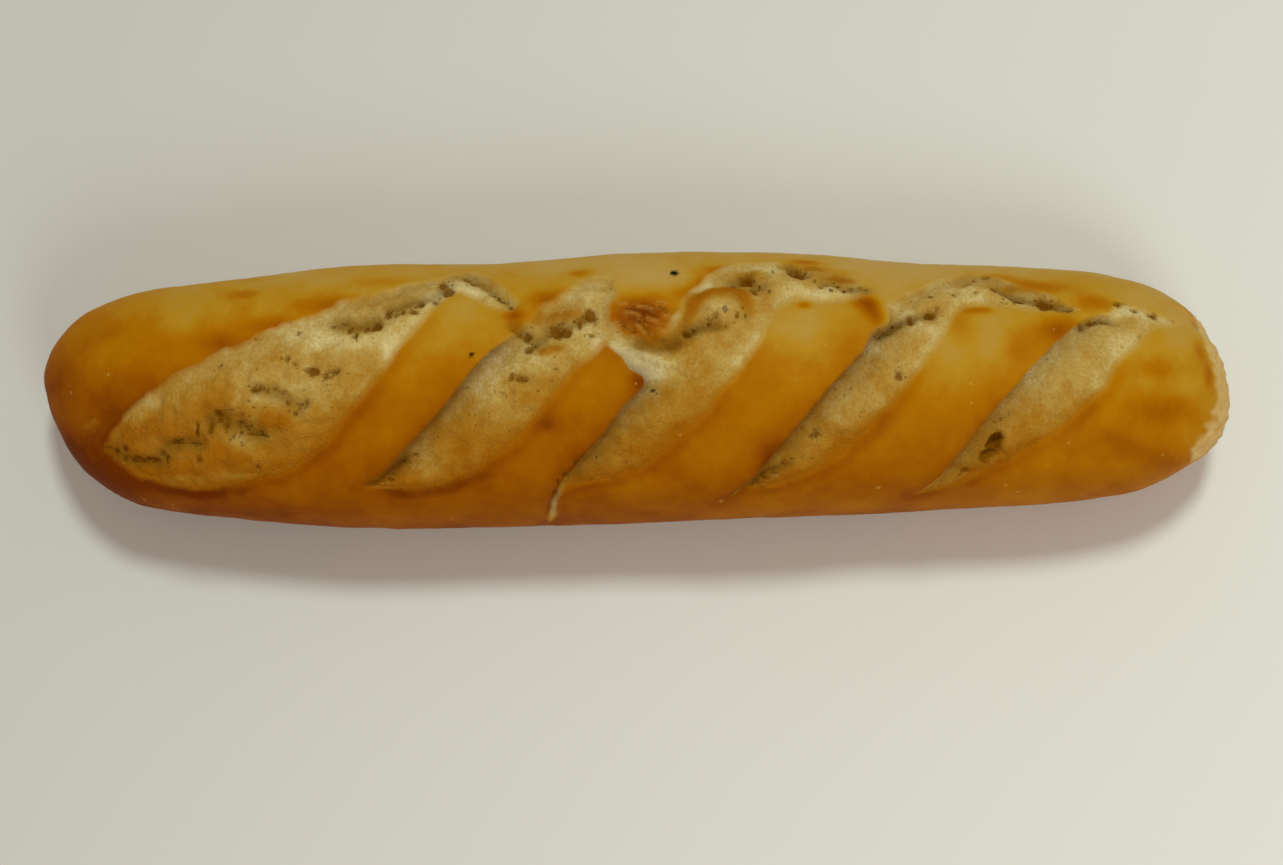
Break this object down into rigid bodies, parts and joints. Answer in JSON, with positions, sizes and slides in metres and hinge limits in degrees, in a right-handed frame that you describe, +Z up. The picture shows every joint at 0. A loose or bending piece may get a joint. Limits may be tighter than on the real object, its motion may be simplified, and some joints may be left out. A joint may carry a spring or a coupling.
{
  "type": "baguette",
  "caption": "Short crusty baguette with diagonal slashes opened into raised ears over torn golden crumb, on a flat baked foot.",
  "frame": {"origin": "centre of the loaf's bounding box, on the plane its foot rests on", "axes": "+X along the loaf towards its rounder, flaky end, +Y across it, +Z up"},
  "size_m": [0.25, 0.0582, 0.0449],
  "materials": {
    "baked_crust": "baked golden brown crust, darker low on the sides, with paler torn crumb in the slashes and a slight sheen"
  },
  "bodies": {
    "root": {"baguette": "baked_crust"}
  },
  "joints": []
}
